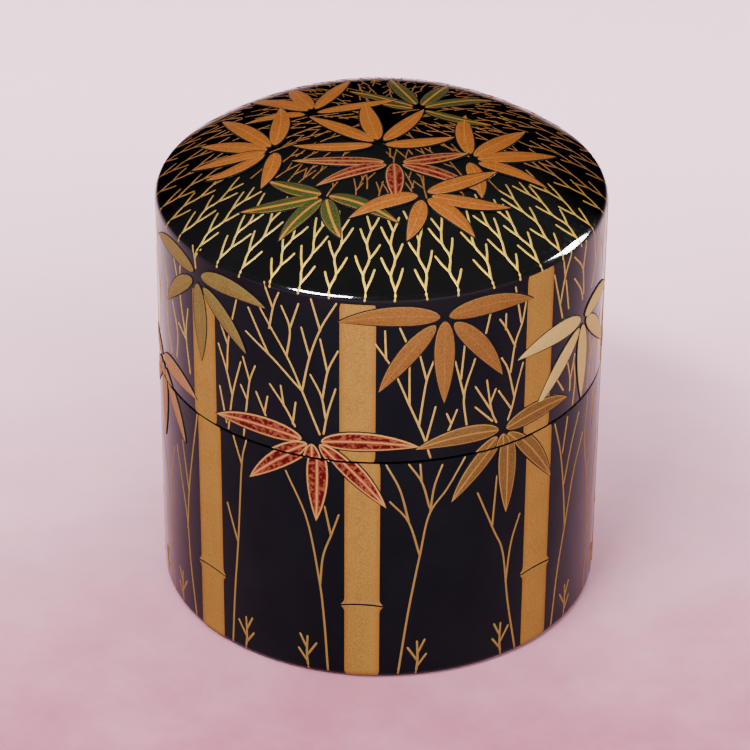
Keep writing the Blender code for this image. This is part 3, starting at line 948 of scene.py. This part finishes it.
class Look:
    """A material's node tree with a Principled shader, built node by node."""

    def __init__(self, name):
        self.material = bpy.data.materials.new(name)
        self.material.use_nodes = True
        self.tree = self.material.node_tree
        self.shader = self.tree.nodes["Principled BSDF"]
        self.place = self.node("TexCoord").outputs["Object"]

    def node(self, kind, settings=None, **inputs):
        made = self.tree.nodes.new("ShaderNode" + kind)
        for key, value in (settings or {}).items():
            setattr(made, key, value)
        for key, value in inputs.items():
            self.feed(made, int(key[1:]) if key[1:].isdigit() else key.replace("_", " "), value)
        return made

    def feed(self, node, key, value):
        if isinstance(value, bpy.types.NodeSocket):
            self.tree.links.new(value, node.inputs[key])
        else:
            node.inputs[key].default_value = value

    def set(self, **inputs):
        for key, value in inputs.items():
            self.feed(self.shader, key.replace("_", " "), value)

    def noise(self, scale, detail=2.0, rough=0.5, place=None):
        place = place or self.place
        inputs = {"Vector": place, "Scale": scale, "Detail": detail, "Roughness": rough}
        return self.node("TexNoise", **inputs).outputs["Fac"]

    def axis(self, name):
        parts = self.node("SeparateXYZ", Vector=self.place)
        return parts.outputs[name]

    def spread(self, value, low, high, out_low=0.0, out_high=1.0):
        """Map a value from one range to another, with soft ends."""
        inputs = {"Value": value, "From Min": low, "From Max": high}
        inputs.update({"To Min": out_low, "To Max": out_high})
        settings = {"interpolation_type": "SMOOTHSTEP"}
        return self.node("MapRange", settings, **inputs).outputs["Result"]

    def math(self, kind, first, second):
        made = self.node("Math", {"operation": kind}, _0=first, _1=second)
        return made.outputs[0]

    def times(self, first, second):
        return self.math("MULTIPLY", first, second)

    def mix(self, share, first, second):
        made = self.node("Mix", {"data_type": "RGBA"}, Factor=share)
        for key, value in ((6, first), (7, second)):
            self.feed(made, key, value if isinstance(value, bpy.types.NodeSocket) else (*value, 1.0))
        return made.outputs[2]

    def value(self, name):
        return self.node("Attribute", {"attribute_name": name}).outputs["Fac"]

    def bump(self, height, strength, distance):
        made = self.node("Bump", Strength=strength, Distance=distance, Height=height)
        self.set(Normal=made.outputs["Normal"])


def powder(look, dull, main, bright):
    """Colour of sprinkled metal powder: a fine grain over slow changes of density."""
    cloud = look.spread(look.noise(260.0, 3.0), 0.35, 0.65)
    grain = look.spread(look.noise(4600.0, 2.0, 0.6), 0.38, 0.62)
    ground = look.mix(look.times(cloud, 0.35), main, dull)
    return look.mix(look.times(grain, 0.6), ground, bright), grain


def finish_powder(look, colour, grain, metallic, roughness):
    """Set a powder's colour, its sparkle and its grainy surface."""
    flakes = look.node("TexVoronoi", Vector=look.place, Scale=3600.0).outputs["Distance"]
    rough = look.spread(flakes, 0.05, 0.6, roughness - 0.08, roughness + 0.12)
    look.set(Base_Color=colour, Roughness=rough, Metallic=metallic)
    look.set(Specular_IOR_Level=0.1, Specular_Tint=(0.80, 0.55, 0.30, 1.0))
    look.bump(look.math("ADD", grain, flakes), 0.35, 0.00003)
    return look.material


def gold_material(name, dull, main, bright):
    """Plain raised gold that is a little redder along its edges."""
    look = Look(name)
    colour, grain = powder(look, dull, main, bright)
    edge = look.spread(look.value("rim"), 0.05, 0.9, 0.5, 0.0)
    colour = look.mix(edge, colour, (0.25, 0.110, 0.018))
    return finish_powder(look, colour, grain, 0.55, 0.42)


def leaf_material(name, powders, lines, heart):
    """Leaf of coloured powder with drawn lines, and maybe a broken streak in each half."""
    look = Look(name)
    colour, grain = powder(look, *powders)
    line, rib_width, rim_width, strength = lines
    wobble = look.times(look.noise(900.0), 0.1)
    rib = look.math("ADD", look.value("rib"), wobble)
    rim = look.math("ADD", look.value("rim"), wobble)
    if heart:
        depth = look.spread(look.math("MINIMUM", rib, rim), *HEART_DEPTH)
        broken = look.spread(look.noise(1700.0, 1.0), 0.40, 0.56)
        colour = look.mix(look.times(depth, broken), colour, heart)
    on_rib = look.spread(rib, rib_width, rib_width + LINE_FADE, 1.0, 0.0)
    on_rim = look.spread(rim, rim_width, rim_width + LINE_FADE, 1.0, 0.0)
    drawn = look.times(look.math("MAXIMUM", on_rib, on_rim), strength)
    colour = look.mix(drawn, colour, line)
    return finish_powder(look, colour, grain, 0.45, 0.45)


def twig_material():
    """Twig gold: pale at the dome's front from a painted highlight, red-brown round its back from
    painted shade, duller on the cup.
    """
    look = Look("twig_gold")
    height, front = look.axis("Z"), look.axis("Y")
    high = look.spread(height, *DOME_FOOT)
    # painted highlight: twigs on the dome turn pale towards the front and a little to the right, where
    # the lamps' glare falls
    band = look.times(high, look.spread(height, *PAINTED_HIGHLIGHT_END, 1.0, 0.0))
    leaning = look.math("SUBTRACT", front, look.times(look.axis("X"), PAINTED_HIGHLIGHT_SLANT))
    painted_highlight = look.times(look.spread(leaning, *PAINTED_HIGHLIGHT_FRONT, 1.0, 0.0), band)
    # painted shade: twigs round the back of the dome turn red-brown
    red = look.times(look.spread(front, *PAINTED_SHADE_BACK), high)
    warm, grain = powder(look, (0.27, 0.17, 0.035), (0.40, 0.28, 0.06), (0.55, 0.42, 0.11))
    below = look.spread(height, *CUP_FADE, 1.0, 0.0)
    colour = look.mix(look.times(below, 0.75), warm, (0.20, 0.125, 0.035))
    colour = look.mix(red, colour, (0.17, 0.075, 0.025))
    colour = look.mix(look.times(painted_highlight, 0.9), colour, (0.64, 0.42, 0.055))
    return finish_powder(look, colour, grain, 0.5, 0.40)


def lacquer_look(name, roughness, ior):
    """Lacquer with faint waves and rubbing marks, and a cloud noise for its colour."""
    look = Look(name)
    rubbed = look.spread(look.noise(1400.0, 6.0, 0.7), 0.3, 0.75, roughness, roughness + 0.07)
    look.set(Roughness=rubbed, IOR=ior)
    ripple = look.times(look.noise(2600.0), 0.06)
    look.bump(look.math("ADD", look.noise(140.0, 2.0), ripple), 0.12, 0.00006)
    cloud = look.spread(look.noise(90.0, 4.0), 0.35, 0.7)
    return look, cloud


def outer_lacquer_material():
    """Black lacquer; above the shoulder the dome turns metallic with a nearly black grazing tint,
    painted shade that leaves next to no sheen at its rim in place of the dark room it would reflect.
    """
    look, cloud = lacquer_look("polished_black_lacquer", 0.04, 1.18)
    height = look.axis("Z")
    # painted shade: from this height up the dome is metallic, its base colour sets its reflection and a
    # nearly black tint cuts the grazing sheen
    dome = look.spread(height, *DOME_PAINTED_SHADE)
    wall_black = look.mix(cloud, (0.007, 0.013, 0.017), (0.010, 0.016, 0.021))
    dome_black_and_shade = look.mix(cloud, (0.039, 0.0385, 0.039), (0.0525, 0.052, 0.0525))
    look.set(Base_Color=look.mix(dome, wall_black, dome_black_and_shade), Metallic=dome)
    shoulder = look.spread(height, *NEUTRAL_SHOULDER)
    tint = look.mix(shoulder, (0.60, 1.0, 0.95), (1.0, 1.0, 1.0))
    look.set(Specular_Tint=look.mix(dome, tint, (0.03, 0.03, 0.03)))
    return look.material


def lining_material():
    """Satin black lacquer of the inside."""
    look, cloud = lacquer_look("satin_black_lining", 0.16, 1.35)
    look.set(Base_Color=look.mix(cloud, (0.007, 0.006, 0.007), (0.012, 0.010, 0.011)))
    return look.material


def ground_material():
    """Dull black lacquer line that parts one leaf from what lies under it."""
    look = Look("dull_black_ground")
    cloud = look.noise(1800.0)
    look.set(Base_Color=look.mix(cloud, (0.001, 0.0015, 0.0025), (0.003, 0.003, 0.004)))
    look.set(Roughness=look.spread(cloud, 0.3, 0.7, 0.5, 0.7), IOR=1.25)
    look.bump(cloud, 0.1, 0.00002)
    return look.material


def wood_material():
    """Close-grained turned wood: growth rings, fibres and pores."""
    look = Look("turned_wood_grain")
    shifted = look.node("Mapping", Vector=look.place)
    shifted.inputs["Location"].default_value = (0.09, 0.03, 0.0)
    shifted.inputs["Rotation"].default_value = (1.35, 0.1, 0.0)
    settings = {"wave_type": "RINGS", "rings_direction": "Z"}
    inputs = {"Vector": shifted.outputs["Vector"], "Scale": 260.0, "Distortion": 1.6, "Detail": 3.0}
    rings = look.node("TexWave", settings, **inputs).outputs["Fac"]
    long_fibres = look.node("Mapping", Vector=look.place)
    long_fibres.inputs["Scale"].default_value = (1.0, 1.0, 0.05)
    fibres = look.noise(5200.0, place=long_fibres.outputs["Vector"])
    colour = look.mix(rings, (0.50, 0.31, 0.16), (0.33, 0.18, 0.085))
    colour = look.mix(look.spread(fibres, 0.45, 0.75, 0.0, 0.5), colour, (0.20, 0.10, 0.045))
    rough = look.spread(fibres, 0.3, 0.8, 0.5, 0.75)
    look.set(Base_Color=colour, Roughness=rough)
    look.bump(look.math("ADD", fibres, rings), 0.25, 0.00005)
    return look.material


def paper_material():
    """Pale paper ground that is pinker in a band across the front."""
    look = Look("pale_paper")
    front = look.spread(look.axis("Y"), *PINK_BACK, 1.0, 0.0)
    front = look.times(front, look.spread(look.axis("Y"), *PINK_FRONT))
    colour = look.mix(front, (0.93, 0.60, 0.72), (0.26, 0.06, 0.11))
    mottle = look.spread(look.noise(35.0, 6.0, 0.65), 0.3, 0.75)
    colour = look.mix(look.times(mottle, 0.12), colour, (0.92, 0.64, 0.72))
    look.set(Base_Color=colour, Roughness=look.spread(look.noise(500.0), 0.2, 0.8, 0.8, 0.95))
    look.bump(look.noise(2200.0, 4.0), 0.1, 0.0001)
    return look.material


def leaf_materials():
    """Every leaf colour with the record's slot that it belongs to."""
    leaf = {}
    for name, (slot, lines, heart, powders) in LEAF_LOOKS.items():
        leaf[name] = (leaf_material(f"leaf_{name}", powders, lines, heart), slot)
    return leaf


# ---------- studio
CAMERA_RISE = 0.5421
CAMERA_ROLL = 0.0066
CAMERA_DISTANCE = 0.5158
CAMERA_AIM = (-0.00078, 0.0, 0.03227)
CAMERA_LENS = 164.5


def build_camera():
    """Long lens from the front, 31 degrees above the horizontal, with a hair of roll."""
    rise, roll = CAMERA_RISE, CAMERA_ROLL
    back = Vector((0.0, -cos(rise), sin(rise)))
    right = Vector((1.0, 0.0, 0.0))
    up = back.cross(right)
    camera = bpy.data.cameras.new("camera")
    camera.sensor_width = 36.0
    camera.lens = CAMERA_LENS
    camera.clip_start = 0.02
    holder = bpy.data.objects.new("camera", camera)
    axes = (
        right * cos(roll) + up * sin(roll),
        up * cos(roll) - right * sin(roll),
        back,
    )
    place = Vector(CAMERA_AIM) + back * CAMERA_DISTANCE
    holder.matrix_world = Matrix.Translation(place) @ Matrix(axes).transposed().to_4x4()
    put(holder)
    bpy.context.scene.camera = holder


def soft_light(name, place, size, power, lit, only_gloss=False):
    """Rectangular soft light that faces the middle of the caddy and lights only some objects."""
    light = bpy.data.lights.new(name, "AREA")
    light.shape = "RECTANGLE"
    light.size, light.size_y = size
    light.energy = power
    holder = bpy.data.objects.new(name, light)
    holder.location = place
    aim = Vector((0.0, 0.0, SEAM)) - holder.location
    holder.rotation_euler = aim.to_track_quat("-Z", "Y").to_euler()
    holder.visible_diffuse = not only_gloss
    put(holder)
    receivers = bpy.data.collections.new(name + "_lit")
    for item in lit:
        receivers.objects.link(item)
    holder.light_linking.receiver_collection = receivers


def build_studio():
    """Pale floor, even surroundings and soft lights; two of them only put glints on lacquer."""
    bm = bmesh.new()
    bmesh.ops.create_grid(bm, x_segments=8, y_segments=8, size=2.5)
    mesh = bpy.data.meshes.new("floor")
    bm.to_mesh(mesh)
    bm.free()
    mesh.materials.append(paper_material())
    floor = bpy.data.objects.new("floor", mesh)
    put(floor)

    world = bpy.data.worlds.new("surroundings")
    world.use_nodes = True
    background = world.node_tree.nodes["Background"].inputs
    background["Color"].default_value = (1.0, 0.97, 0.95, 1.0)
    background["Strength"].default_value = 0.28
    bpy.context.scene.world = world

    everything = [item for item in bpy.context.scene.objects if item.type == "MESH"]
    glossy = [item for item in everything if item.name.endswith(("_lacquer", "_lining"))]
    matt = [item for item in everything if item not in glossy]
    soft_light("key_light", (-0.25, -0.36, 0.69), (0.30, 0.10), 12.0, matt)
    soft_light("front_light", (0.32, -0.74, 0.58), (0.6, 0.5), 11.5, matt)
    soft_light("floor_light", (0.0, 0.10, 0.95), (0.8, 0.8), 16.0, [floor])
    soft_light("edge_light", (-0.346, -0.651, 0.29), (0.37, 0.15), 166.0, glossy, True)
    lid_coat = [item for item in glossy if item.name == "lid_lacquer"]
    soft_light("shoulder_light", (0.62, 0.19, 0.268), (0.23, 0.335), 105.0, lid_coat, True)


def main():
    lacquer = outer_lacquer_material()
    lining = lining_material()
    gold = gold_material("culm_gold", *CULM_POWDERS)
    inner_shaded_gold = gold_material("inner_twig_gold_painted_shade", *INNER_SHADED_POWDERS)
    twig = twig_material()
    leaf = leaf_materials()
    ground = ground_material()
    wood = wood_material()

    build_camera()
    build_lid_coats(lacquer, lining)
    build_cup_coats(lacquer, lining)
    build_culms(gold)
    build_wall_sprays(leaf, ground)
    build_dome_sprays(leaf, ground)
    build_wall_twigs(twig)
    build_dome_trees(twig)
    build_inner_twigs(inner_shaded_gold)
    for name in ("cup_wood", "collar_ring_wood", "lid_wood"):
        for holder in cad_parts[name].material_slots:
            holder.material = wood
    build_studio()
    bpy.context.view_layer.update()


main()
